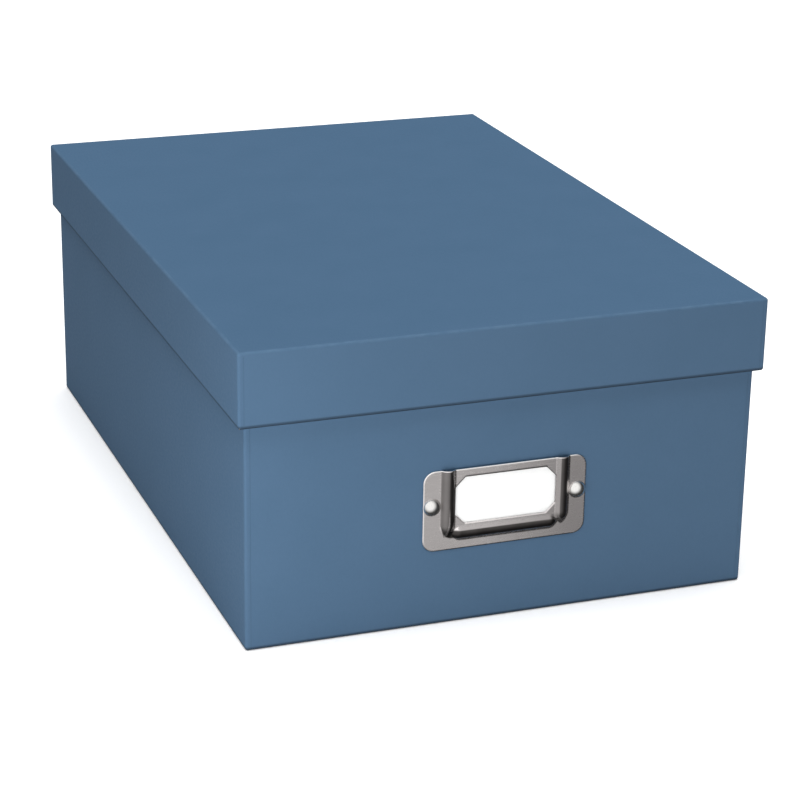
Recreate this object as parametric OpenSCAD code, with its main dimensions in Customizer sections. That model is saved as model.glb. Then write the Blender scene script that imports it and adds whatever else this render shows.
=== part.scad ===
// Storage box for photographs and cards: a greyboard tray and a lift-off greyboard lid, both wrapped in
// covering paper and lined with white paper, with a stamped metal label frame on the front wall.
// The origin is the centre of the underside. +Z is up, -Y is the front, +X is to the right. Millimetres.

/* [Box] */
// Outside width of the lid, across the front
lid_w = 197; // [170:1:260]
// Outside length of the lid, front to back
lid_l = 286; // [200:1:420]
// Overall height with the lid on
box_h = 111; // [95:0.5:200]
// Depth of the lid, from its top face to its lower edge
lid_depth = 27.5; // [25:0.5:30]
// Gap all round between the lid's skirt and the tray's walls
lid_gap = 0.55; // [0.45:0.05:1.5]

/* [Board and paper] */
// Thickness of the greyboard panels
board_t = 1.6; // [1.2:0.1:2.5]
// Radius to which the taut covering paper has pressed the panels' outer edges
edge_r = 0.85; // [0.3:0.05:1]
// Thickness of the covering paper with its glue
wrap_t = 0.25; // [0.2:0.05:0.4]
// Thickness of the white lining paper
liner_t = 0.15; // [0.1:0.05:0.25]
// How far the covering paper is turned in over a rim
turn_in = 18; // [12:1:20]
// Width of each leg of the tape that joins two walls at a corner
tape_w = 12; // [8:1:20]
// Thickness of the corner tape
tape_t = 0.1; // [0.05:0.05:0.15]

/* [Label frame] */
// Width of the label frame
frame_w = 62; // [62:1:66]
// Height of the label frame
frame_h = 30.5; // [30:0.5:34]
// Height of the label frame's centre above the underside of the box
frame_z = 43.75; // [30:0.25:50]
// Radius of the label frame's corners
frame_r = 4.5; // [2:0.5:5]
// Thickness of the frame's sheet metal
sheet_t = 0.5; // [0.4:0.1:0.6]
// Width of the window
window_w = 38; // [30:1:38]
// Height of the window
window_h = 17.4; // [12:0.2:17.4]
// Size of the window's cut corners
window_cut = 3.6; // [1:0.2:6]
// Height of the window panel's face above the wall
panel_h = 1.2; // [1.1:0.1:1.5]
// Height of the beads' crests above the wall
bead_h = 2; // [1.8:0.1:2.2]
// Width of a bead where it meets the flange
bead_w = 5.8; // [5:0.1:5.8]

/* [Paper fasteners] */
// Diameter of the domed head
head_d = 6.6; // [5:0.2:6.6]
// Height of the domed head
head_h = 2.2; // [1.5:0.1:2.2]
// Diameter of the hole through the frame and the wall
hole_d = 2.8; // [2.8:0.1:3.4]
// Width of each leg
leg_w = 2.2; // [1.6:0.1:2.2]
// Length of each leg along the inside of the wall
leg_l = 8; // [5:0.5:12]

/* [Label card] */
// Width of the label card
card_w = 46; // [40:0.5:46]
// Height of the label card
card_h = 23.4; // [20:0.1:23.8]
// Thickness of the label card
card_t = 0.3; // [0.2:0.05:0.35]

/* [Hidden] */
$fn = 96;
bite = 1; // how far a cutting shape runs past the face that it cuts
wall_bare = wrap_t + board_t + liner_t; // a wall with its lining and the paper outside it
wall_full = wall_bare + wrap_t; // a wall where the covering paper is turned in over its lining
overhang = wall_full + lid_gap; // how far the lid stands out past the tray
tray_w = lid_w - 2 * overhang;
tray_l = lid_l - 2 * overhang;
rest_gap = 0.1; // play between the tray's rim and the underside of the lid
tray_h = box_h - wall_bare - rest_gap;

// Places on the label frame, from its centre: x to the right, y up, z out from the wall
bead_x = 21.6; // centre line of each side bead
bead_y = -9; // centre line of the lower bead
side_bead_foot = -10.3; // lower end of each side bead
low_bead_half = 19.5; // half the length of the lower bead
window_y = 3.3; // centre of the window
fastener_x = 27.6;
fastener_y = 1.8;
bead_r = (pow(bead_w / 2, 2) + pow(bead_h, 2)) / (2 * bead_h); // outer radius of a bead
bead_sunk = bead_r - bead_h; // its axis lies this far behind the wall's face
head_r = (pow(head_d / 2, 2) + pow(head_h, 2)) / (2 * head_h); // radius of the dome's sphere
leg_t = 0.5; // thickness of a leg
leg_split = 0.1; // gap between the two legs
card_back = 0.1; // gap between the card and the wall
card_foot = bead_y + 0.1; // lower edge of the card, just clear of the pocket's foot

paper_blue = [0.31, 0.42, 0.54];
board_grey = [0.56, 0.53, 0.48];
tape_brown = [0.72, 0.6, 0.43];
liner_white = [0.93, 0.92, 0.88];
nickel = [0.72, 0.69, 0.68];
card_white = [0.98, 0.98, 0.97];

// A rectangle with rounded corners, centred on the origin
module round_rect(w, l, r) {
    x = w / 2 - r;
    y = l / 2 - r;
    square([w, 2 * y], center = true);
    square([2 * x, l], center = true);
    for (sx = [-x, x], sy = [-y, y]) translate([sx, sy]) circle(r);
}

// A block centred on the Z axis, standing on height z
module block(w, l, h, z) {
    translate([-w / 2, -l / 2, z]) cube([w, l, h]);
}

// The same block with all its edges rounded
module soft_block(w, l, h, z, r) {
    translate([0, 0, z + h / 2])
        intersection() {
            linear_extrude(h + bite, center = true) round_rect(w, l, r);
            rotate([90, 0, 0]) linear_extrude(l + bite, center = true) round_rect(w, h, r);
            rotate([90, 0, 90]) linear_extrude(w + bite, center = true) round_rect(l, h, r);
        }
}

// A ring of straight walls of thickness t whose outside is w by l
module ring(w, l, t, h, z) {
    difference() {
        block(w, l, h, z);
        block(w - 2 * t, l - 2 * t, h + 2 * bite, z - bite);
    }
}

// ---- one half of the box: a base and four walls, outside w by l by h, with the opening up ----

board_z = wrap_t + board_t; // height of the base panel's inner face

// The space inside the covering paper's outer layer, plus a layer of thickness over
module inside_paper(w, l, h, over) {
    t = wrap_t - over;
    soft_block(w - 2 * t, l - 2 * t, h - 2 * t, t, edge_r + over);
}

module base_board(w, l, h) {
    color(board_grey)
        intersection() {
            inside_paper(w, l, h, 0);
            block(w, l, board_t, wrap_t);
        }
}

// The long wall on the right, or on the left with side = -1
module long_board(w, l, h, side) {
    color(board_grey)
        intersection() {
            inside_paper(w, l, h, 0);
            translate([side * (w / 2 - wrap_t - board_t / 2), 0, 0]) block(board_t, l, h, board_z);
        }
}

// The short wall between the long ones, at the back, or at the front with side = -1
module short_board(w, l, h, side) {
    color(board_grey)
        intersection() {
            inside_paper(w, l, h, 0);
            translate([0, side * (l / 2 - wrap_t - board_t / 2), 0])
                block(w - 2 * board_z, board_t, h, board_z);
        }
}

// Four strips of tape, each folded round an outer corner of the walls, under the covering paper
module tape_shapes(w, l, h) {
    difference() {
        intersection() {
            inside_paper(w, l, h, tape_t);
            for (sx = [-1, 1], sy = [-1, 1])
                translate([sx * w / 2, sy * l / 2, 0])
                    block(2 * (wrap_t + tape_w), 2 * (wrap_t + tape_w), h - wrap_t - board_z, board_z);
        }
        inside_paper(w, l, h, 0);
    }
}

module corner_tapes(w, l, h) {
    color(tape_brown) tape_shapes(w, l, h);
}

// One sheet of paper: under the base, up the walls, over the rim and down inside
module covering_paper(w, l, h) {
    difference() {
        soft_block(w, l, h, 0, edge_r + wrap_t);
        difference() {
            inside_paper(w, l, h, 0);
            ring(w - 2 * wall_bare, l - 2 * wall_bare, wrap_t, h, h - turn_in);
        }
        block(w - 2 * wall_full, l - 2 * wall_full, h, board_z);
        tape_shapes(w, l, h);
    }
}

module base_lining(w, l) {
    color(liner_white) block(w - 2 * board_z, l - 2 * board_z, liner_t, board_z);
}

module wall_lining(w, l, h) {
    z = board_z + liner_t;
    color(liner_white) ring(w - 2 * board_z, l - 2 * board_z, liner_t, h - wrap_t - z, z);
}

// Moves a shape drawn flat, with z pointing out, to the label frame's place on the front wall
module on_front() {
    translate([0, -tray_l / 2, frame_z]) rotate([90, 0, 0]) children();
}

// The two holes for the paper fasteners, through the front wall
module fastener_holes() {
    on_front()
        for (side = [-1, 1])
            translate([side * fastener_x, fastener_y, -2 * wall_bare])
                cylinder(d = hole_d, h = 4 * wall_bare);
}

// ---- tray ----

module tray_bottom_board() {
    base_board(tray_w, tray_l, tray_h);
}

module tray_front_board() {
    difference() {
        short_board(tray_w, tray_l, tray_h, -1);
        fastener_holes();
    }
}

module tray_back_board() {
    short_board(tray_w, tray_l, tray_h, 1);
}

module tray_left_board() {
    long_board(tray_w, tray_l, tray_h, -1);
}

module tray_right_board() {
    long_board(tray_w, tray_l, tray_h, 1);
}

module tray_corner_tapes() {
    corner_tapes(tray_w, tray_l, tray_h);
}

// The part of the tray's covering paper that lies under it
module tray_wrap_base() {
    color(paper_blue)
        intersection() {
            covering_paper(tray_w, tray_l, tray_h);
            block(tray_w, tray_l, wrap_t, 0);
        }
}

// The rest of the tray's covering paper
module tray_wrap_sides() {
    color(paper_blue)
        difference() {
            covering_paper(tray_w, tray_l, tray_h);
            block(tray_w, tray_l, bite, wrap_t - bite);
            fastener_holes();
        }
}

module tray_floor_liner() {
    base_lining(tray_w, tray_l);
}

module tray_wall_liner() {
    difference() {
        wall_lining(tray_w, tray_l, tray_h);
        fastener_holes();
    }
}

// ---- label frame, drawn flat with its back on z = 0 ----

module window_outline() {
    w = window_w / 2;
    h = window_h / 2;
    c = window_cut;
    translate([0, window_y])
        polygon([
            [c - w, -h], [w - c, -h], [w, c - h], [w, h - c],
            [w - c, h], [c - w, h], [-w, h - c], [-w, c - h]
        ]);
}

// The three beads, each a length of a cylinder of radius r whose ends are cut back by shorten
module beads(r, shorten, top) {
    for (side = [-1, 1])
        translate([side * bead_x, side_bead_foot + shorten, -bead_sunk])
            rotate([-90, 0, 0]) cylinder(r = r, h = top - side_bead_foot - shorten);
    translate([-low_bead_half + shorten, bead_y, -bead_sunk])
        rotate([0, 90, 0]) cylinder(r = r, h = 2 * (low_bead_half - shorten));
}

// The raised window panel between the beads, as a slab of height h that runs up to top
module panel(h, top) {
    translate([-bead_x, bead_y, 0]) cube([2 * bead_x, top - bead_y, h]);
}

module label_frame() {
    top = frame_h / 2;
    color(nickel)
        on_front()
            difference() {
                union() {
                    linear_extrude(sheet_t) round_rect(frame_w, frame_h, frame_r);
                    panel(panel_h, top);
                    intersection() {
                        beads(bead_r, 0, top);
                        translate([-frame_w / 2, -top, 0]) cube([frame_w, frame_h, bead_h + bite]);
                    }
                }
                translate([0, 0, -bite]) panel(panel_h - sheet_t + bite, top + bite);
                beads(bead_r - sheet_t, sheet_t, top + bite);
                translate([0, 0, -bite]) linear_extrude(bead_h + 2 * bite) window_outline();
                for (side = [-1, 1])
                    translate([side * fastener_x, fastener_y, -bite])
                        cylinder(d = hole_d, h = sheet_t + 2 * bite);
            }
}

// A split paper fastener: a domed head outside, and two legs folded apart on the inside of the wall
module paper_fastener(side) {
    color(nickel)
        on_front()
            translate([side * fastener_x, fastener_y, 0]) {
                intersection() {
                    translate([0, 0, sheet_t + head_h - head_r]) sphere(head_r);
                    translate([-head_d, -head_d, sheet_t]) cube([2 * head_d, 2 * head_d, 2 * head_h]);
                }
                for (leg = [0, 1])
                    mirror([leg, 0, 0])
                        translate([leg_split / 2, -leg_w / 2, -wall_bare - leg_t]) {
                            cube([leg_t, leg_w, wall_bare + leg_t + sheet_t + head_h / 2]);
                            cube([leg_l, leg_w, leg_t]);
                        }
            }
}

module left_paper_fastener() {
    paper_fastener(-1);
}

module right_paper_fastener() {
    paper_fastener(1);
}

module label_card() {
    color(card_white)
        on_front() translate([-card_w / 2, card_foot, card_back]) cube([card_w, card_h, card_t]);
}

// ---- lid: the same construction as the tray, upside down ----

module upside_down() {
    translate([0, 0, box_h]) mirror([0, 0, 1]) children();
}

module lid_top_board() {
    upside_down() base_board(lid_w, lid_l, lid_depth);
}

module lid_front_board() {
    upside_down() short_board(lid_w, lid_l, lid_depth, -1);
}

module lid_back_board() {
    upside_down() short_board(lid_w, lid_l, lid_depth, 1);
}

module lid_left_board() {
    upside_down() long_board(lid_w, lid_l, lid_depth, -1);
}

module lid_right_board() {
    upside_down() long_board(lid_w, lid_l, lid_depth, 1);
}

module lid_corner_tapes() {
    upside_down() corner_tapes(lid_w, lid_l, lid_depth);
}

module lid_wrap() {
    color(paper_blue) upside_down() covering_paper(lid_w, lid_l, lid_depth);
}

module lid_top_liner() {
    upside_down() base_lining(lid_w, lid_l);
}

module lid_skirt_liner() {
    upside_down() wall_lining(lid_w, lid_l, lid_depth);
}

tray_bottom_board();
tray_front_board();
tray_back_board();
tray_left_board();
tray_right_board();
tray_corner_tapes();
tray_wrap_base();
tray_wrap_sides();
tray_floor_liner();
tray_wall_liner();
label_frame();
left_paper_fastener();
right_paper_fastener();
label_card();
lid_top_board();
lid_front_board();
lid_back_board();
lid_left_board();
lid_right_board();
lid_corner_tapes();
lid_wrap();
lid_top_liner();
lid_skirt_liner();
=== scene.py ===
"""Looks for the paper-covered storage box: its covering papers, linings, label frame, fasteners and card.

Everything is in metres in the box's own frame: origin at the centre of the underside, +Z up, -Y the front.
Some light and shade is painted to look like the photograph: dark streaks on the label frame, its duller
right side, its cut edges, and the folds of the covering paper. It follows neither light nor view.
"""

import math

import bmesh
import bpy
from mathutils import Matrix, Vector
from mathutils.geometry import delaunay_2d_cdt


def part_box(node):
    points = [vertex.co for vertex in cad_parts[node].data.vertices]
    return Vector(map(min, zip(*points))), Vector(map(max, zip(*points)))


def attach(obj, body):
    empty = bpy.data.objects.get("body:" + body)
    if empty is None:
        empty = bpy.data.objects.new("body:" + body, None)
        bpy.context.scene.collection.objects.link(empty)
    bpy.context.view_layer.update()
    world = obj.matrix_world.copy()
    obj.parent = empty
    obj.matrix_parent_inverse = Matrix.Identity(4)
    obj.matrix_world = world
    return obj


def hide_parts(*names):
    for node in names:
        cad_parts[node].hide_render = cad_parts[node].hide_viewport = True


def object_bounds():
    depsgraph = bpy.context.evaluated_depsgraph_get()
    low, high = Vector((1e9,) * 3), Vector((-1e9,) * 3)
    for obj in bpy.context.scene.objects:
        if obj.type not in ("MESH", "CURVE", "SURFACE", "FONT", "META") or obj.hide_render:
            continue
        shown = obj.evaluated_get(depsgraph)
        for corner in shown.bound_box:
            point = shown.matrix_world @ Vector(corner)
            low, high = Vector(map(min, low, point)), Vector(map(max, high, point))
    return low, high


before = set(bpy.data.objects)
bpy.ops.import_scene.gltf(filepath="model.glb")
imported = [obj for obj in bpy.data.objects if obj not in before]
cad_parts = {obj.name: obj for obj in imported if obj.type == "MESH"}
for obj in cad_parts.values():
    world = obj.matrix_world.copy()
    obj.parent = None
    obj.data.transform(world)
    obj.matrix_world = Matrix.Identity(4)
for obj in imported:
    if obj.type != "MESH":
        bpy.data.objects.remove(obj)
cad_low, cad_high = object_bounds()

MM = 0.001
QUARTER = math.pi / 2
TURN = 4 * QUARTER

# ---- sizes that the frame doesn't name ----

PAPER = 0.25 * MM  # covering paper with its glue
WALL = 2.0 * MM  # board and lining, with one layer of covering paper
FOLD_RADIUS = 1.1 * MM  # outside radius of the covering paper's folds
TURN_IN = 18 * MM  # how far the paper is turned in over the rim
LAP_SETBACK = 0.9 * MM  # from a corner's rounding to the cut edge of the sheet lapped over it
LAP_STEP = 0.09 * MM  # height of that cut edge
LAP_EDGE = 0.06 * MM  # its width in plan
CREASE = 0.3 * MM  # how far the painted shade beside the cut edge reaches on either side
LIGHT_FOLD = 1.0  # tone painted on a fold that faces up
DARK_FOLD = -1.0  # tone painted on a fold that faces down
DARK_FOLD_REACH = 0.65  # how much of that tone is left where the fold meets the flat paper
SUPPORT = 0.5 * MM  # a row of faces this narrow keeps a flat side flat beside a rounded edge
FOLD_STEPS = 6  # faces round a fold or a corner
SIDE_COLUMNS = 9  # columns of vertices along a side, apart from those beside a lap or a hole
WALL_ROWS = 6
TURN_IN_ROWS = 4

HOLE_X = 27.6 * MM  # from the middle of the front to the hole for a fastener
HOLE_MARGIN = 2.5 * MM  # half the square of paper that is framed for such a hole

# From here to the card, sizes are in millimetres on the wall: x to the right, y up, z out of the wall.
SHEET = 0.5  # thickness of the label frame's sheet metal
BEAD_CREST = 2.0  # height of a half-round bead
BEAD_HALF = 2.9  # half its width
BEAD_X = 21.6  # centre lines of the two side beads
BEAD_Y = -9.0  # centre line of the lower bead
SIDE_BEAD_FOOT = -10.6  # where the side beads end
SIDE_RUN_OUT = 5  # length over which they run out
LOW_BEAD_HALF = 20.5  # half the length of the lower bead
LOW_RUN_OUT = 3.5
BEAD_END = 0.02  # a bead with less of it left than this has ended
BEAD_FILLET = 0.35
PANEL_FACE = 1.05  # height of the raised panel's face
PANEL_CORNER = 3.0
PANEL_SLOPE = 1.6  # width of the slope round the panel
WINDOW = (38.0, 17.4)
WINDOW_CUT = 3.6  # how much is cut off each of its corners
WINDOW_Y = 3.3
WINDOW_CORNER = 0.5  # rounding of its eight corners
PLATE_CORNER = 4.5
EDGE_ROUND = 0.4  # rounding of the face of the sheet at its cut edges
BACK_ROUND = 0.08  # rounding of its back there
MESH_STEP = 0.3  # size of the plate's faces

FASTENER_X = HOLE_X / MM
FASTENER_Y = 1.8
HOLE_RADIUS = 1.4
HEAD_RADIUS = 3.3
HEAD_RISE = 2.2
HEAD_SIDES = 40
LEG_LENGTH = 8.0
LEG_WIDTH = 2.2
LEG_THICK = 0.5
LEG_GAP = 0.1  # between a fastener's two legs
LEG_EDGE = 0.08  # how much of a leg's edges is broken

CARD_TRIM = 0.5 * MM  # off the card's foot, which clears the plate where its two lower beads begin
CARD_CORNER = 0.8
CARD_EDGE = 0.06


# ---- helpers ----

def finish_piece(name, bm, material, body, replaced, smooth_angle=35):
    """Turns a bmesh into a piece that rides on a body and stands for CAD nodes."""
    bmesh.ops.recalc_face_normals(bm, faces=bm.faces)
    if bm.calc_volume(signed=True) < 0:
        bmesh.ops.reverse_faces(bm, faces=bm.faces)
    mesh = bpy.data.meshes.new(name)
    bm.to_mesh(mesh)
    bm.free()
    mesh.shade_smooth()
    mesh.set_sharp_from_angle(angle=math.radians(smooth_angle))
    piece = bpy.data.objects.new(name, mesh)
    bpy.context.scene.collection.objects.link(piece)
    mesh.materials.append(material)
    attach(piece, body)
    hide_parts(*replaced)
    return piece


def bridge(bm, first, second):
    """Joins two closed rows of vertices with a band of faces."""
    count = len(first)
    for i in range(count):
        j = (i + 1) % count
        bm.faces.new((first[i], first[j], second[j], second[i]))


def spread(start, end, count):
    """Evenly spaced numbers from start to end."""
    return [start + (end - start) * i / (count - 1) for i in range(count)]


# ---- node materials ----

class Nodes:
    """A material's node tree, with short calls to add nodes and feed their sockets."""

    def __init__(self, name):
        self.material = bpy.data.materials.new(name)
        self.material.use_nodes = True
        self.tree = self.material.node_tree
        self.shader = self.tree.nodes["Principled BSDF"]
        self.place = self.add("ShaderNodeTexCoord").outputs["Object"]

    def add(self, kind, **settings):
        node = self.tree.nodes.new(kind)
        for key, value in settings.items():
            setattr(node, key, value)
        return node

    def feed(self, socket, value):
        """Links an output to a socket, or sets the socket's own value."""
        if isinstance(value, bpy.types.NodeSocket):
            self.tree.links.new(value, socket)
        else:
            socket.default_value = value

    def math(self, operation, *values):
        node = self.add("ShaderNodeMath", operation=operation)
        for socket, value in zip(node.inputs, values):
            self.feed(socket, value)
        return node.outputs[0]

    def attribute(self, name):
        return self.add("ShaderNodeAttribute", attribute_name=name).outputs["Fac"]

    def stretched(self, stretch):
        """The object's own coordinates, scaled by a different factor along each axis."""
        node = self.add("ShaderNodeVectorMath", operation="MULTIPLY")
        self.feed(node.inputs[0], self.place)
        self.feed(node.inputs[1], stretch)
        return node.outputs[0]

    def across(self):
        """The distance to the right of the object's own middle."""
        node = self.add("ShaderNodeSeparateXYZ")
        self.feed(node.inputs[0], self.place)
        return node.outputs["X"]

    def noise(self, per_metre, detail=4, roughness=0.55, place=None):
        node = self.add("ShaderNodeTexNoise")
        self.feed(node.inputs["Vector"], place or self.place)
        self.feed(node.inputs["Scale"], per_metre)
        self.feed(node.inputs["Detail"], detail)
        self.feed(node.inputs["Roughness"], roughness)
        return node.outputs["Fac"]

    def remap(self, value, from_low, from_high, to_low, to_high):
        node = self.add("ShaderNodeMapRange")
        for socket, number in zip(node.inputs, (value, from_low, from_high, to_low, to_high)):
            self.feed(socket, number)
        return node.outputs[0]

    def mix(self, factor, first, second, blend="MIX"):
        node = self.add("ShaderNodeMix", data_type="RGBA", blend_type=blend)
        self.feed(node.inputs["Factor"], factor)
        self.feed(node.inputs["A"], first if isinstance(first, bpy.types.NodeSocket) else (*first, 1))
        self.feed(node.inputs["B"], second if isinstance(second, bpy.types.NodeSocket) else (*second, 1))
        return node.outputs["Result"]

    def set(self, name, value):
        self.feed(self.shader.inputs[name], value)

    def bump(self, height, depth):
        """Adds relief to the surface: height from 0 to 1 stands for depth, in metres."""
        node = self.add("ShaderNodeBump")
        self.feed(node.inputs["Strength"], 1.0)
        self.feed(node.inputs["Distance"], depth)
        self.feed(node.inputs["Height"], height)
        previous = self.shader.inputs["Normal"]
        if previous.is_linked:
            self.tree.links.new(previous.links[0].from_socket, node.inputs["Normal"])
        self.feed(previous, node.outputs["Normal"])


def covering_paper_material():
    """Blue satin covering paper: fibres and a faint mottle. Folds are painted light above, dark below."""
    n = Nodes("covering_paper")
    mottle = n.noise(45, detail=3)
    fibres = n.noise(1400, detail=5, roughness=0.65, place=n.stretched((1, 0.35, 0.6)))
    blue = n.mix(n.remap(mottle, 0.3, 0.7, 0, 1), (0.061, 0.120, 0.200), (0.065, 0.125, 0.208))
    blue = n.mix(n.remap(fibres, 0.3, 0.7, 0, 0.3), blue, (0.078, 0.145, 0.234))
    # Painted highlight on folds that face up; painted shade on folds that face down and beside each lap's
    # cut edge.
    fold = n.attribute("fold")
    fold_highlight = n.remap(n.noise(260), 0.35, 0.65, 0.06, 0.24)
    lighter = n.math("MULTIPLY", n.math("MAXIMUM", fold, 0.0), fold_highlight)
    crease = n.math("MULTIPLY", n.attribute("crease"), 0.12)
    darker = n.math("MAXIMUM", n.math("MULTIPLY", fold, -1.0), crease)
    blue = n.mix(lighter, blue, (0.142, 0.225, 0.317))
    blue = n.mix(darker, blue, (0.016, 0.028, 0.045))
    n.set("Base Color", blue)
    n.set("Roughness", n.remap(fibres, 0.3, 0.7, 0.46, 0.58))
    n.set("Specular IOR Level", 0.16)
    n.bump(n.noise(300, detail=2), 0.012 * MM)
    n.bump(fibres, 0.008 * MM)
    return n.material


def lining_paper_material():
    """White uncoated lining paper with soft fibres."""
    n = Nodes("lining_paper")
    clouds = n.noise(60, detail=3)
    fibres = n.noise(1100, detail=6, roughness=0.7, place=n.stretched((1, 0.3, 0.5)))
    white = n.mix(n.remap(clouds, 0.3, 0.7, 0, 1), (0.80, 0.785, 0.745), (0.84, 0.83, 0.80))
    white = n.mix(n.remap(fibres, 0.55, 0.8, 0, 0.35), white, (0.66, 0.63, 0.57))
    n.set("Base Color", white)
    n.set("Roughness", n.remap(fibres, 0.3, 0.7, 0.78, 0.9))
    n.set("Specular IOR Level", 0.25)
    n.bump(fibres, 0.015 * MM)
    return n.material


def greyboard_material():
    """Recycled greyboard: warm grey with pale and dark flecks of fibre."""
    n = Nodes("greyboard")
    pulp = n.noise(500, detail=6, roughness=0.7)
    flecks = n.noise(2200, detail=2, place=n.stretched((1, 0.4, 0.7)))
    grey = n.mix(n.remap(pulp, 0.3, 0.7, 0, 1), (0.21, 0.185, 0.15), (0.33, 0.30, 0.255))
    grey = n.mix(n.remap(flecks, 0.62, 0.7, 0, 0.8), grey, (0.09, 0.075, 0.06))
    grey = n.mix(n.remap(flecks, 0.38, 0.3, 0, 0.7), grey, (0.55, 0.51, 0.45))
    n.set("Base Color", grey)
    n.set("Roughness", n.remap(pulp, 0.3, 0.7, 0.85, 0.95))
    n.bump(pulp, 0.05 * MM)
    return n.material


def corner_tape_material():
    """Gummed kraft tape with long brown fibres."""
    n = Nodes("corner_tape")
    fibres = n.noise(900, detail=6, roughness=0.7, place=n.stretched((1, 1, 0.15)))
    n.set("Base Color", n.mix(n.remap(fibres, 0.3, 0.7, 0, 1), (0.40, 0.26, 0.13), (0.55, 0.39, 0.21)))
    n.set("Roughness", n.remap(fibres, 0.3, 0.7, 0.6, 0.75))
    n.bump(fibres, 0.02 * MM)
    return n.material


def nickel_plate_material():
    """Plated sheet metal, finely brushed along its length, with light and shade painted on it."""
    n = Nodes("nickel_plate")
    brushing = n.noise(3200, detail=3, roughness=0.6, place=n.stretched((0.06, 1, 1)))
    clouds = n.noise(110, detail=3)
    metal = n.mix(n.remap(clouds, 0.3, 0.7, 0, 1), (0.88, 0.83, 0.82), (0.93, 0.88, 0.87))
    metal = n.mix(n.remap(brushing, 0.35, 0.65, 0, 0.35), metal, (0.96, 0.92, 0.905))
    # The rest of the colour stands for reflections that these lights don't give.
    metal = n.mix(n.remap(n.across(), -8 * MM, 26 * MM, 0, 1), metal, (0.60, 0.565, 0.56))
    tone = n.attribute("shade")
    dark = n.math("MULTIPLY", n.math("MAXIMUM", tone, 0.0), n.remap(clouds, 0.3, 0.7, 0.94, 1.0))
    light = n.math("MAXIMUM", n.math("MULTIPLY", tone, -1.0), 0.0)
    metal = n.mix(light, metal, (0.95, 0.94, 0.92))
    metal = n.mix(dark, metal, (0.052, 0.047, 0.045))
    n.set("Base Color", metal)
    n.set("Metallic", 1.0)
    rough = n.remap(brushing, 0.3, 0.7, 0.20, 0.29)
    n.set("Roughness", n.math("ADD", rough, n.math("MULTIPLY", dark, 0.1)))
    n.bump(brushing, 0.002 * MM)
    n.bump(clouds, 0.02 * MM)
    return n.material


def nickel_dome_material():
    """Bright plating on the fasteners, with hairline scratches."""
    n = Nodes("nickel_dome")
    scratches = n.noise(2600, detail=3, roughness=0.7, place=n.stretched((1, 1, 0.3)))
    n.set("Base Color", n.mix(n.remap(scratches, 0.3, 0.7, 0, 1), (0.77, 0.76, 0.74), (0.85, 0.84, 0.82)))
    n.set("Metallic", 1.0)
    n.set("Roughness", n.remap(scratches, 0.3, 0.7, 0.14, 0.22))
    n.bump(scratches, 0.002 * MM)
    return n.material


def label_card_material():
    """Smooth white card."""
    n = Nodes("label_stock")
    fibres = n.noise(1600, detail=5, roughness=0.65)
    n.set("Base Color", n.mix(n.remap(fibres, 0.3, 0.7, 0, 1), (0.90, 0.90, 0.89), (0.945, 0.945, 0.94)))
    n.set("Roughness", n.remap(fibres, 0.3, 0.7, 0.6, 0.72))
    n.set("Specular IOR Level", 0.3)
    n.bump(fibres, 0.006 * MM)
    return n.material


def floor_material():
    """A plain pale studio floor, which glows a little so that it comes out white."""
    n = Nodes("studio_floor")
    n.set("Base Color", n.mix(n.noise(3), (0.93, 0.93, 0.93), (0.95, 0.95, 0.95)))
    n.set("Roughness", 0.9)
    n.set("Specular IOR Level", 0.0)
    n.set("Emission Color", (1, 1, 1, 1))
    n.set("Emission Strength", 0.18)
    return n.material


# ---- covering papers ----

def framed(places, centres):
    """The places, with one on either side of each centre, for a hole there, and none between the two."""
    clear = [place for place in places if all(abs(place - centre) > HOLE_MARGIN for centre in centres)]
    return sorted(clear + [centre + side * HOLE_MARGIN for centre in centres for side in (-1, 1)])


def side_places(half, lapped):
    """Places along one straight side, from -half to half, each with 1 where it lies under the lap."""
    if lapped:
        cut = LAP_SETBACK + LAP_EDGE
        near = [(0, 1), (LAP_SETBACK - CREASE, 1), (LAP_SETBACK, 1), (cut, 0), (cut + CREASE, 0)]
    else:
        near = [(0, 0), (SUPPORT, 0)]
    inner = half - near[-1][0] - SUPPORT
    middle = [(place, 0) for place in framed(spread(-inner, inner, SIDE_COLUMNS), (-HOLE_X, HOLE_X))]
    start = [(gap - half, under) for gap, under in near]
    end = [(half - gap, under) for gap, under in near[::-1]]
    return start + middle + end


def corner_steps():
    """How far round a corner each of the points between two sides lies, from 0 to 1."""
    return [step / FOLD_STEPS for step in range(1, FOLD_STEPS)]


def ring_places(width, length, inset, sunk):
    """Points round a rounded rectangle, at an inset from the outline, with those under the lap sunk."""
    radius = max(FOLD_RADIUS - inset, 0)
    points = []
    for side in range(4):
        along = Vector((math.cos(side * QUARTER), math.sin(side * QUARTER)))
        out = Vector((along.y, -along.x))
        lapped = side % 2 == 0
        across, reach = (width, length) if lapped else (length, width)
        half = across / 2 - inset - radius
        for place, under in side_places(half, lapped):
            points.append(along * place + out * (reach / 2 - inset - sunk * under))
        centre = along * half + out * (reach / 2 - inset - radius)
        for share in corner_steps():
            ray = out * math.cos(share * QUARTER) + along * math.sin(share * QUARTER)
            sink = out * (1 - share) if lapped else along * share
            points.append(centre + ray * radius - sink * sunk)
    return points


def fold_arc(centre_inset, centre_height, radius, start, end, fold=1.0, steps=FOLD_STEPS):
    """Rings round a fold: (inset, height, sunk, fold) at each step of an arc between two quarter turns."""
    rings = []
    for turn in spread(start, end, steps + 1):
        inset = centre_inset - radius * math.cos(turn * QUARTER)
        height = centre_height + radius * math.sin(turn * QUARTER)
        share = math.sin((turn - start) / (end - start) * math.pi)
        if fold < 0:
            share = max(share, DARK_FOLD_REACH)
        rings.append((inset, height, 0, fold * share))
    return rings


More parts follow.
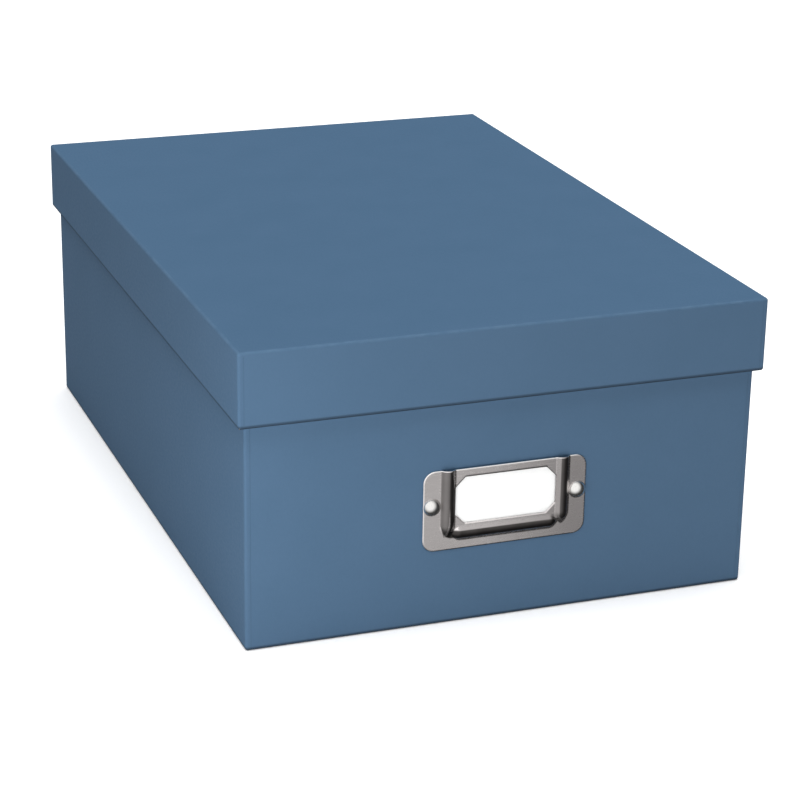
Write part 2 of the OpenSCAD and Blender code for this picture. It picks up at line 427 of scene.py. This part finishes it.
def cover_rings(height, closed_fold, open_fold, holes):
    """The sheet's section as rings, from under the base, up the wall, over the rim and back inside."""
    core = FOLD_RADIUS - PAPER
    full = WALL + PAPER
    rings = fold_arc(FOLD_RADIUS, FOLD_RADIUS, FOLD_RADIUS, -1, 0, closed_fold)
    levels = spread(FOLD_RADIUS + SUPPORT, height - FOLD_RADIUS - SUPPORT, WALL_ROWS)
    for level in framed(levels, holes):
        rings.append((0, level, LAP_STEP, 0))
    rings += fold_arc(FOLD_RADIUS, height - FOLD_RADIUS, FOLD_RADIUS, 0, 1, open_fold)
    rings += fold_arc(WALL, height - PAPER, PAPER, 1, 2, steps=4)
    for level in spread(height - PAPER - SUPPORT, height - TURN_IN, TURN_IN_ROWS):
        rings.append((full, level, -LAP_STEP, 0))
    rings.append((WALL, height - TURN_IN, 0, 0))
    rings.append((WALL, height - PAPER, 0, 0))
    rings += fold_arc(FOLD_RADIUS, height - FOLD_RADIUS, core, 1, 0, steps=3)
    rings += [(PAPER, level, 0, 0) for level in framed([], holes)[::-1]]
    rings += fold_arc(FOLD_RADIUS, FOLD_RADIUS, core, 0, -1, steps=3)
    return rings


def crease_values():
    """For each point of a ring, 1 beside the lapped sheet's cut edge."""
    values = []
    for side in range(4):
        lapped = side % 2 == 0
        places = side_places(1.0, lapped)
        last = len(places) - 1
        beside = {2, 3, last - 3, last - 2} if lapped else set()
        values += [1.0 if i in beside else 0.0 for i in range(len(places))]
        values += [0.0] * len(corner_steps())
    return values


def add_panel(bm, width, length, height):
    """Closes one end of the cover with a grid whose lines meet the ring at the end of the fold."""
    xs = [place for place, _ in side_places(width / 2 - FOLD_RADIUS, True)]
    ys = [place for place, _ in side_places(length / 2 - FOLD_RADIUS, False)]
    grid = [[bm.verts.new((x, y, height)) for y in ys] for x in xs]
    for i in range(len(xs) - 1):
        for j in range(len(ys) - 1):
            bm.faces.new((grid[i][j], grid[i + 1][j], grid[i + 1][j + 1], grid[i][j + 1]))


def open_hole(bm, x, z, front):
    """Cuts a round hole through the sheet at the front, in the square that was framed for it."""
    loops = []
    for y in (front, front + PAPER):
        middle = Vector((x, y, z))
        square = next(face for face in bm.faces if (face.calc_center_median() - middle).length < 0.1 * MM)
        corners = sorted(square.verts, key=lambda v: math.atan2(v.co.z - z, v.co.x - x) % TURN)
        bmesh.ops.delete(bm, geom=[square], context="FACES_ONLY")
        loop = [bm.verts.new((x + p.x * MM, y, z + p.y * MM)) for p, _ in hole_loop(0, 0, HOLE_RADIUS)]
        share = len(loop) // 4
        for i, corner in enumerate(corners):
            arc = [loop[(i * share + k) % len(loop)] for k in range(share + 1)]
            for first, second in zip(arc, arc[1:]):
                bm.faces.new((corner, first, second))
            bm.faces.new((corner, arc[-1], corners[(i + 1) % 4]))
        loops.append(loop)
    bridge(bm, *loops)


def covering_paper(name, low, high, opens_up, body, replaced, holes=()):
    """One sheet of covering paper round a tray or a lid, as a closed skin of the paper's own thickness."""
    width, length, height = high - low
    bm = bmesh.new()
    fold_layer = bm.verts.layers.float.new("fold")
    crease_layer = bm.verts.layers.float.new("crease")
    crease = crease_values()
    previous = None
    folds = (DARK_FOLD, LIGHT_FOLD) if opens_up else (LIGHT_FOLD, DARK_FOLD)
    for inset, level, sunk, fold in cover_rings(height, *folds, sorted({z for _, z in holes})):
        row = []
        for point, edge in zip(ring_places(width, length, inset, sunk), crease):
            vertex = bm.verts.new((point.x, point.y, level))
            vertex[fold_layer] = fold
            vertex[crease_layer] = edge if sunk else 0
            row.append(vertex)
        if previous:
            bridge(bm, previous, row)
        previous = row
    add_panel(bm, width, length, 0)
    add_panel(bm, width, length, PAPER)
    bmesh.ops.remove_doubles(bm, verts=bm.verts, dist=0.001 * MM)
    bmesh.ops.dissolve_degenerate(bm, edges=bm.edges, dist=0.0005 * MM)
    for x, z in holes:
        open_hole(bm, x, z, -length / 2)
    for vertex in bm.verts:
        if not opens_up:
            vertex.co.z = height - vertex.co.z
        vertex.co += Vector(((low.x + high.x) / 2, (low.y + high.y) / 2, low.z))
    return finish_piece(name, bm, materials["cover_paper"], body, replaced)


# ---- label frame ----

def smooth_max(a, b, blend):
    """The larger of two heights, with a fillet where they are close."""
    near = max(blend - abs(a - b), 0) / blend
    return max(a, b) + near * near * blend / 4


def ease(t):
    """0 to 1 with level ends."""
    t = min(max(t, 0), 1)
    return t * t * (3 - 2 * t)


def bead_height(across, scale):
    """Height of a half-round bead at a distance across from its centre line, narrowed by scale."""
    half = BEAD_HALF * scale
    crest = BEAD_CREST * scale
    radius = (half * half + crest * crest) / (2 * crest)
    return crest - radius + math.sqrt(max(radius * radius - across * across, 0))


def run_out(distance, length):
    """How much of a bead is left at a distance from its end."""
    return math.sin(min(max(distance / length, 0), 1) * QUARTER) ** 0.7


def plate_height(x, y):
    """Height of the stamped sheet's face above the wall."""
    side_edge = BEAD_X - abs(x)
    foot_edge = y - BEAD_Y
    if side_edge < PANEL_CORNER and foot_edge < PANEL_CORNER:
        inside = PANEL_CORNER - math.hypot(PANEL_CORNER - side_edge, PANEL_CORNER - foot_edge)
    else:
        inside = min(side_edge, foot_edge)
    height = SHEET + (PANEL_FACE - SHEET) * ease(inside / PANEL_SLOPE + 0.5)
    side = run_out(y - SIDE_BEAD_FOOT, SIDE_RUN_OUT)
    if side > BEAD_END:
        height = smooth_max(height, bead_height(abs(x) - BEAD_X, side), BEAD_FILLET)
    low = run_out(LOW_BEAD_HALF - abs(x), LOW_RUN_OUT)
    if low > BEAD_END:
        height = smooth_max(height, bead_height(y - BEAD_Y, low), BEAD_FILLET)
    return height


LEFT, RIGHT = -BEAD_X, BEAD_X
TOP_EDGE = WINDOW_Y + WINDOW[1] / 2 + 0.3
CUT_X = WINDOW[0] / 2 - WINDOW_CUT

# Dark streaks painted on the metal, placed where the photograph shows what are probably reflections.
# Real ones would move with the view, and these don't: (start, end, half width at each, strength)
DARK_STREAKS = [
    # outer half of the left bead, and its foot
    ((LEFT - 1.45, 20), (LEFT - 1.45, -5.5), 1.45, 1.45, 0.82),
    ((LEFT - 1.45, -5.5), (LEFT - 1.3, -10.2), 1.45, 0.15, 0.82),
    # its inner half, darker
    ((LEFT + 0.3, 16), (LEFT + 1.15, 7.5), 0.45, 1.1, 0.95),
    ((LEFT + 1.15, 7.5), (LEFT + 1.15, -4), 1.1, 1.1, 0.95),
    ((LEFT + 1.15, -4), (LEFT - 0.5, -9.9), 1.1, 0.35, 0.95),
    # right bead, lower bead
    ((RIGHT + 0.45, 20), (RIGHT + 0.45, -7), 1.5, 1.4, 0.9),
    ((LEFT + 1.1, BEAD_Y - 0.3), (LOW_BEAD_HALF - 2.4, BEAD_Y - 0.3), 1.55, 1.3, 1.0),
    # top of the window and its upper left corner
    ((-CUT_X, TOP_EDGE), (CUT_X, TOP_EDGE), 0.25, 0.25, 0.8),
    ((-CUT_X, TOP_EDGE), (-WINDOW[0] / 2, TOP_EDGE - WINDOW_CUT), 0.25, 0.25, 0.8),
    # foot of the right and lower beads' inner flanks
    ((RIGHT - 1.7, 20), (RIGHT - 1.7, -7), 0.75, 0.75, 0.5),
    ((LEFT + 4.5, BEAD_Y + 1.8), (RIGHT - 3.5, BEAD_Y + 1.8), 0.8, 0.8, 0.5),
    # lower edge of the plate
    ((-26, -14.9), (26, -14.9), 0.12, 0.12, 0.6),
]
# Where the left bead's crest is left light between them, in the same form
LIGHT_STREAKS = [
    ((LEFT + 0.3, 1), (LEFT + 0.15, -5.5), 0.02, 0.2, 1.0),
    ((LEFT + 0.15, -5.5), (LEFT - 0.75, -9.6), 0.2, 0.2, 1.0),
]
STREAK_EDGE = 0.3  # a streak fades out over this distance
RIM_DARK = 0.85  # darkness painted on cut edges that face down
RIM_LIGHT = 0.9  # lightness painted on the plate's own edge where it faces up
WINDOW_LIGHT = 0.2  # the same for the edges of its openings


def streak_at(streaks, x, y):
    """The strongest of the streaks at a point."""
    point = Vector((x, y))
    strongest = 0
    for start, end, half_start, half_end, strength in streaks:
        start, end = Vector(start), Vector(end)
        along = min(max((point - start).dot(end - start) / (end - start).length_squared, 0), 1)
        half = half_start + (half_end - half_start) * along
        gap = (point - start.lerp(end, along)).length - half
        strongest = max(strongest, strength * ease(0.5 - gap / STREAK_EDGE))
    return strongest


def darkness_at(x, y):
    """How dark the metal is painted at a point."""
    return streak_at(DARK_STREAKS, x, y) * (1 - streak_at(LIGHT_STREAKS, x, y))


def rounded_loop(corners, radius, step):
    """(point, outward normal) round a convex polygon with filleted corners, anticlockwise."""
    loop = []
    count = len(corners)
    for i in range(count):
        before, corner, after = (Vector(corners[(i + k) % count]) for k in (-1, 0, 1))
        way_in = (corner - before).normalized()
        way_out = (after - corner).normalized()
        turn = math.atan2(way_in.x * way_out.y - way_in.y * way_out.x, way_in.dot(way_out))
        normal = Vector((way_in.y, -way_in.x))
        start = corner - way_in * radius * math.tan(turn / 2)
        centre = start - normal * radius
        if loop:
            loop += straight(loop[-1][0], start, normal, step)
        steps = max(2, math.ceil(turn * radius / step))
        for angle in spread(0, turn, steps + 1):
            ray = Vector((
                normal.x * math.cos(angle) - normal.y * math.sin(angle),
                normal.x * math.sin(angle) + normal.y * math.cos(angle),
            ))
            loop.append((centre + ray * radius, ray))
    closing = (loop[0][0] - loop[-1][0]).normalized()
    return loop + straight(loop[-1][0], loop[0][0], Vector((closing.y, -closing.x)), step)


def straight(start, end, normal, step):
    """The points between two ends of a straight edge, without the ends."""
    pieces = max(1, round((end - start).length / step))
    return [(start + (end - start) * (i / pieces), normal) for i in range(1, pieces)]


def box_corners(width, height, y=0.0):
    w, h = width / 2, height / 2
    return [(-w, y - h), (w, y - h), (w, y + h), (-w, y + h)]


def window_corners():
    w, h, c = WINDOW[0] / 2, WINDOW[1] / 2, WINDOW_CUT
    corners = [
        (c - w, -h), (w - c, -h), (w, c - h), (w, h - c),
        (w - c, h), (c - w, h), (-w, h - c), (-w, c - h),
    ]
    return [(x, y + WINDOW_Y) for x, y in corners]


def hole_loop(x, y, radius, count=20):
    loop = []
    for i in range(count):
        ray = Vector((math.cos(i * TURN / count), math.sin(i * TURN / count)))
        loop.append((Vector((x, y)) + ray * radius, ray))
    return loop


def depth_in_sheet(x, y, width, height):
    """Distance from a point of the sheet to its nearest edge; negative in an opening or off the sheet."""
    edge_x, edge_y = width / 2 - abs(x), height / 2 - abs(y)
    depth = min(edge_x, edge_y)
    if edge_x < PLATE_CORNER and edge_y < PLATE_CORNER:
        depth = PLATE_CORNER - math.hypot(PLATE_CORNER - edge_x, PLATE_CORNER - edge_y)
    w, h = WINDOW[0] / 2, WINDOW[1] / 2
    u, v = abs(x) - w, abs(y - WINDOW_Y) - h
    window = max(u, v, (u + v + WINDOW_CUT) / math.sqrt(2))
    hole = math.hypot(abs(x) - FASTENER_X, y - FASTENER_Y) - HOLE_RADIUS
    return min(depth, window, hole)


def plate_loops(width, height):
    """The sheet's cut edges, each with the way its normals point: -1 out of the sheet, 1 into it."""
    return [
        (rounded_loop(box_corners(width, height), PLATE_CORNER, MESH_STEP), -1),
        (rounded_loop(window_corners(), WINDOW_CORNER, MESH_STEP), 1),
        (hole_loop(-FASTENER_X, FASTENER_Y, HOLE_RADIUS), 1),
        (hole_loop(FASTENER_X, FASTENER_Y, HOLE_RADIUS), 1),
    ]


def plate_triangles(loops, width, height):
    """The sheet between its rounded edges: points, triangles, and the points along each edge."""
    points, edges, starts = [], [], []
    for loop, inward in loops:
        first = len(points)
        starts.append(first)
        points += [point + normal * EDGE_ROUND * inward for point, normal in loop]
        edges += [(first + i, first + (i + 1) % len(loop)) for i in range(len(loop))]
    for x in spread(-width / 2, width / 2, round(width / MESH_STEP) + 1):
        for y in spread(-height / 2, height / 2, round(height / MESH_STEP) + 1):
            if depth_in_sheet(x, y, width, height) > EDGE_ROUND + 0.55 * MESH_STEP:
                points.append(Vector((x, y)))
    flat, _, triangles, origins, _, _ = delaunay_2d_cdt(points, edges, [], 0, 1e-5)
    index = {source: i for i, sources in enumerate(origins) for source in sources}
    rims = [[index[first + i] for i in range(len(loop))] for first, (loop, _) in zip(starts, loops)]
    openings = [set(rim) for rim, (_, inward) in zip(rims, loops) if inward > 0]
    solid = [triangle for triangle in triangles if not any(gap.issuperset(triangle) for gap in openings)]
    return flat, solid, rims


def label_frame():
    """The stamped plate: one sheet with half-round beads, a raised panel and rounded cut edges."""
    low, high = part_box("label_frame")
    width, height = (high.x - low.x) / MM, (high.z - low.z) / MM
    middle = Vector(((low.x + high.x) / 2, high.y, (low.z + high.z) / 2))
    loops = plate_loops(width, height)
    flat, triangles, rims = plate_triangles(loops, width, height)
    bm = bmesh.new()
    shade_layer = bm.verts.layers.float.new("shade")

    def place(point, z, shade):
        vertex = bm.verts.new(middle + Vector((point.x, -z, point.y)) * MM)
        vertex[shade_layer] = shade
        return vertex

    front, back = [], []
    for point in flat:
        z = plate_height(point.x, point.y)
        shade = darkness_at(point.x, point.y)
        front.append(place(point, z, shade))
        back.append(place(point, z - SHEET, shade))
    for triangle in triangles:
        bm.faces.new([front[i] for i in triangle])
        bm.faces.new([back[i] for i in reversed(triangle)])
    for (loop, inward), rim in zip(loops, rims):
        rows = [[front[i] for i in rim]]
        rows += edge_rows(place, loop, inward)
        rows.append([back[i] for i in rim])
        for upper, lower in zip(rows, rows[1:]):
            bridge(bm, upper, lower)
    metal = materials["nickel_plate"]
    return finish_piece("label_plate", bm, metal, "tray", ["label_frame"], 50)


def edge_rows(place, loop, inward):
    """The rows of vertices round a cut edge, from the face of the sheet to its back."""
    rows = []
    for share in (0.25, 0.5, 0.75, 1):
        inset = EDGE_ROUND * (1 - math.sin(share * QUARTER))
        drop = EDGE_ROUND * (1 - math.cos(share * QUARTER))
        rows.append(edge_row(place, loop, inward, inset, drop))
    rows.append(edge_row(place, loop, inward, 0, SHEET - BACK_ROUND))
    rows.append(edge_row(place, loop, inward, BACK_ROUND, SHEET))
    return rows


def edge_row(place, loop, inward, inset, drop):
    """One row of vertices round a cut edge, at an inset from the edge and a drop from the face."""
    row = []
    for point, normal in loop:
        inner = point + normal * EDGE_ROUND * inward
        z = plate_height(inner.x, inner.y) - drop
        faces = -normal * inward
        light = RIM_LIGHT if inward < 0 else WINDOW_LIGHT
        tone = faces.y * (light if faces.y > 0 else RIM_DARK)
        row.append(place(point + normal * inset * inward, z, darkness_at(inner.x, inner.y) - tone))
    return row


# ---- paper fasteners ----

def dome_rows():
    """(radius, height) of the rings of a fastener's head, from its underside to near its top."""
    sphere = (HEAD_RADIUS ** 2 + HEAD_RISE ** 2) / (2 * HEAD_RISE)
    sunk = sphere - HEAD_RISE
    widest = math.acos(sunk / sphere)
    rows = [(HEAD_RADIUS - 0.9, 0.0), (HEAD_RADIUS - 0.12, 0.0)]
    for angle in spread(widest * 0.97, widest * 0.06, 14):
        rows.append((sphere * math.sin(angle), sphere * math.cos(angle) - sunk))
    return rows


def leg_section(half):
    """Corners of a leg's section with its edges broken, as (across the leg, through its thickness)."""
    cut = min(LEG_EDGE, half * 0.5)
    t = LEG_THICK / 2
    return [
        (-half, cut - t), (cut - half, -t), (half - cut, -t), (half, cut - t),
        (half, t - cut), (half - cut, t), (cut - half, t), (-half, t - cut),
    ]


def leg_path(inside):
    """A leg's centre line as (x, z, direction in quarter turns), from head to tip, and the tip's x."""
    bend = LEG_THICK / 2
    start = LEG_GAP / 2 + bend
    tip = LEG_LENGTH + LEG_GAP / 2
    path = [(start, SHEET + 0.2, 0), (start, -inside * 0.5, 0), (start, -inside, 0)]
    for turn in (0.25, 0.5, 0.75, 1):
        x = start + bend * (1 - math.cos(turn * QUARTER))
        z = -inside - bend * math.sin(turn * QUARTER)
        path.append((x, z, turn))
    straight_part = spread(start + bend + 0.6, tip - 1.2, 5)
    round_part = [tip - 0.8, tip - 0.45, tip - 0.2, tip - 0.04]
    for x in straight_part + round_part:
        path.append((x, -inside - bend, 1))
    return path, tip


def add_head(bm, place):
    """A fastener's domed head, solid, on the sheet."""
    rows = []
    angles = [i * TURN / HEAD_SIDES for i in range(HEAD_SIDES)]
    for radius, z in dome_rows():
        rows.append([place(radius * math.cos(a), radius * math.sin(a), SHEET + z) for a in angles])
    for first, second in zip(rows, rows[1:]):
        bridge(bm, first, second)
    for row, z in ((rows[0], SHEET), (rows[-1], SHEET + HEAD_RISE)):
        tip = place(0, 0, z)
        for i in range(HEAD_SIDES):
            bm.faces.new((row[i], row[(i + 1) % HEAD_SIDES], tip))


def add_leg(bm, place, inside, way):
    """One leg, through the wall and folded flat inside it, to the left (way -1) or the right (way 1)."""
    path, tip = leg_path(inside)
    previous = None
    for x, z, turn in path:
        half = LEG_WIDTH / 2
        if turn == 1:
            reach = min(tip - x, half)
            half = math.sqrt(half ** 2 - (half - reach) ** 2)
        row = []
        for across, through in leg_section(half):
            shift_x = through * math.cos(turn * QUARTER)
            shift_z = through * math.sin(turn * QUARTER)
            row.append(place(way * (x + shift_x), across, z + shift_z))
        if previous:
            bridge(bm, previous, row)
        else:
            bm.faces.new(row)
        previous = row
    bm.faces.new(previous)


def paper_fastener(node):
    """A split fastener: a domed head, and two legs that pass through the wall and fold apart inside it."""
    low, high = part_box(node)
    wall_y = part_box("label_frame")[1].y
    middle = Vector(((low.x + high.x) / 2, wall_y, (low.z + high.z) / 2))
    bm = bmesh.new()

    def place(x, y, z):
        return bm.verts.new(middle + Vector((x, -z, y)) * MM)

    add_head(bm, place)
    inside = (high.y - wall_y) / MM - LEG_THICK
    for way in (-1, 1):
        add_leg(bm, place, inside, way)
    name = node.replace("paper", "split")
    return finish_piece(name, bm, materials["nickel_dome"], "tray", [node], 40)


# ---- label card ----

def label_card():
    """A loose card with slightly rounded corners, cut from stiff paper."""
    low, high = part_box("label_card")
    low.z += CARD_TRIM
    width, height, thickness = ((high[i] - low[i]) / MM for i in (0, 2, 1))
    middle = Vector(((low.x + high.x) / 2, high.y, (low.z + high.z) / 2))
    loop = rounded_loop(box_corners(width, height), CARD_CORNER, 2.0)
    bm = bmesh.new()
    rows = []
    for inset, z in ((CARD_EDGE, 0), (0, CARD_EDGE), (0, thickness - CARD_EDGE), (CARD_EDGE, thickness)):
        row = []
        for point, normal in loop:
            edge = Vector((point.x - normal.x * inset, -z, point.y - normal.y * inset))
            row.append(bm.verts.new(middle + edge * MM))
        rows.append(row)
    for first, second in zip(rows, rows[1:]):
        bridge(bm, first, second)
    bm.faces.new(rows[0])
    bm.faces.new(rows[-1])
    stock = materials["label_stock"]
    return finish_piece("label_slip", bm, stock, "label_card", ["label_card"], 30)


# ---- studio ----

CAMERA_ANGLES = (20.32, 20.44, 0.927)  # degrees to the left of the front, above the level, and of roll
CAMERA_AIM = (7.9, -10.7, -20.0)  # millimetres from the middle of the box
CAMERA_DISTANCE = 0.9859
CAMERA_LENS = 110.28


def make_camera():
    """The camera stands to the left of the front and looks down on the box."""
    azimuth, elevation, roll = (math.radians(angle) for angle in CAMERA_ANGLES)
    aim = (cad_low + cad_high) / 2 + Vector(CAMERA_AIM) * MM
    forward = Vector((
        math.sin(azimuth) * math.cos(elevation),
        math.cos(azimuth) * math.cos(elevation),
        -math.sin(elevation),
    ))
    level = Vector((math.cos(azimuth), -math.sin(azimuth), 0))
    upright = level.cross(forward)
    right = level * math.cos(roll) + upright * math.sin(roll)
    up = right.cross(forward)
    data = bpy.data.cameras.new("camera")
    data.lens = CAMERA_LENS
    data.sensor_width = 36
    data.clip_end = 20
    camera = bpy.data.objects.new("camera", data)
    axes = Matrix((right, up, -forward)).transposed().to_4x4()
    camera.matrix_world = Matrix.Translation(aim - forward * CAMERA_DISTANCE) @ axes
    bpy.context.scene.collection.objects.link(camera)
    bpy.context.scene.camera = camera


def add_softbox(name, place, target, size, power):
    """A rectangular studio light at a place, turned to a target, which reflections don't show."""
    data = bpy.data.lights.new(name, "AREA")
    data.shape = "RECTANGLE"
    data.size, data.size_y = size
    data.energy = power
    light = bpy.data.objects.new(name, data)
    way = Vector(target) - Vector(place)
    light.rotation_euler = way.to_track_quat("-Z", "Y").to_euler()
    light.location = place
    light.visible_glossy = False
    bpy.context.scene.collection.objects.link(light)


def add_skylight(strength, spread_angle):
    """Wide, even light from straight above."""
    data = bpy.data.lights.new("skylight", "SUN")
    data.energy = strength
    data.angle = math.radians(spread_angle)
    light = bpy.data.objects.new("skylight", data)
    light.visible_glossy = False
    bpy.context.scene.collection.objects.link(light)


def make_world(dim, bright):
    """A plain pale surround, whose reflection in metal is bright at the front left and dim at the right."""
    world = bpy.data.worlds.new("studio")
    bpy.context.scene.world = world
    world.use_nodes = True
    nodes, links = world.node_tree.nodes, world.node_tree.links
    ray = nodes.new("ShaderNodeTexCoord").outputs["Generated"]
    along = nodes.new("ShaderNodeVectorMath")
    along.operation = "DOT_PRODUCT"
    along.inputs[1].default_value = Vector((-0.5, -0.75, 0.45)).normalized()
    links.new(ray, along.inputs[0])
    level = nodes.new("ShaderNodeMapRange")
    level.interpolation_type = "SMOOTHSTEP"
    for socket, number in zip(level.inputs[1:], (-0.05, 0.85, dim, bright)):
        socket.default_value = number
    links.new(along.outputs["Value"], level.inputs[0])
    kind = nodes.new("ShaderNodeLightPath")
    shine = nodes.new("ShaderNodeMath")
    shine.operation = "MULTIPLY_ADD"
    links.new(level.outputs[0], shine.inputs[0])
    links.new(kind.outputs["Is Glossy Ray"], shine.inputs[1])
    links.new(kind.outputs["Is Camera Ray"], shine.inputs[2])
    links.new(shine.outputs[0], nodes["Background"].inputs["Strength"])
    nodes["Background"].inputs["Color"].default_value = (1, 1, 1, 1)


def make_floor():
    half = 4.0
    bm = bmesh.new()
    bmesh.ops.create_grid(bm, x_segments=8, y_segments=8, size=half)
    mesh = bpy.data.meshes.new("studio_floor")
    bm.to_mesh(mesh)
    bm.free()
    mesh.materials.append(floor_material())
    floor = bpy.data.objects.new("studio_floor", mesh)
    bpy.context.scene.collection.objects.link(floor)
    floor.visible_glossy = False


# ---- build ----

materials = {
    "cover_paper": covering_paper_material(),
    "greyboard": greyboard_material(),
    "lining_paper": lining_paper_material(),
    "corner_tape": corner_tape_material(),
    "nickel_plate": nickel_plate_material(),
    "nickel_dome": nickel_dome_material(),
    "label_stock": label_card_material(),
}

CARRIED = {"board": "greyboard", "tapes": "corner_tape", "liner": "lining_paper"}
for name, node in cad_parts.items():
    kind = CARRIED.get(name.split("_")[-1])
    if kind:
        for slot in node.material_slots:
            slot.material = materials[kind]

tray_low, tray_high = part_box("tray_wrap_sides")
tray_low.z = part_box("tray_wrap_base")[0].z
lid_low, lid_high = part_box("lid_wrap")
hole_level = sum(corner.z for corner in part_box("left_paper_fastener")) / 2 - tray_low.z
tray_holes = [(-HOLE_X, hole_level), (HOLE_X, hole_level)]
tray_wraps = ["tray_wrap_base", "tray_wrap_sides"]
covering_paper("tray_cover", tray_low, tray_high, True, "tray", tray_wraps, tray_holes)
covering_paper("lid_cover", lid_low, lid_high, False, "lid", ["lid_wrap"])
label_frame()
paper_fastener("left_paper_fastener")
paper_fastener("right_paper_fastener")
label_card()

make_floor()
make_world(0.05, 1.12)
add_skylight(4.08, 60)
add_softbox("front_strip", (0, -0.7, 0.06), (0, 0, 0.05), (0.5, 0.1), 0.32)
add_softbox("key", (-0.25, -0.30, 0.08), (-0.1, -0.14, 0.05), (0.15, 0.15), 0.35)
make_camera()

scene = bpy.context.scene
scene.view_settings.view_transform = "Standard"
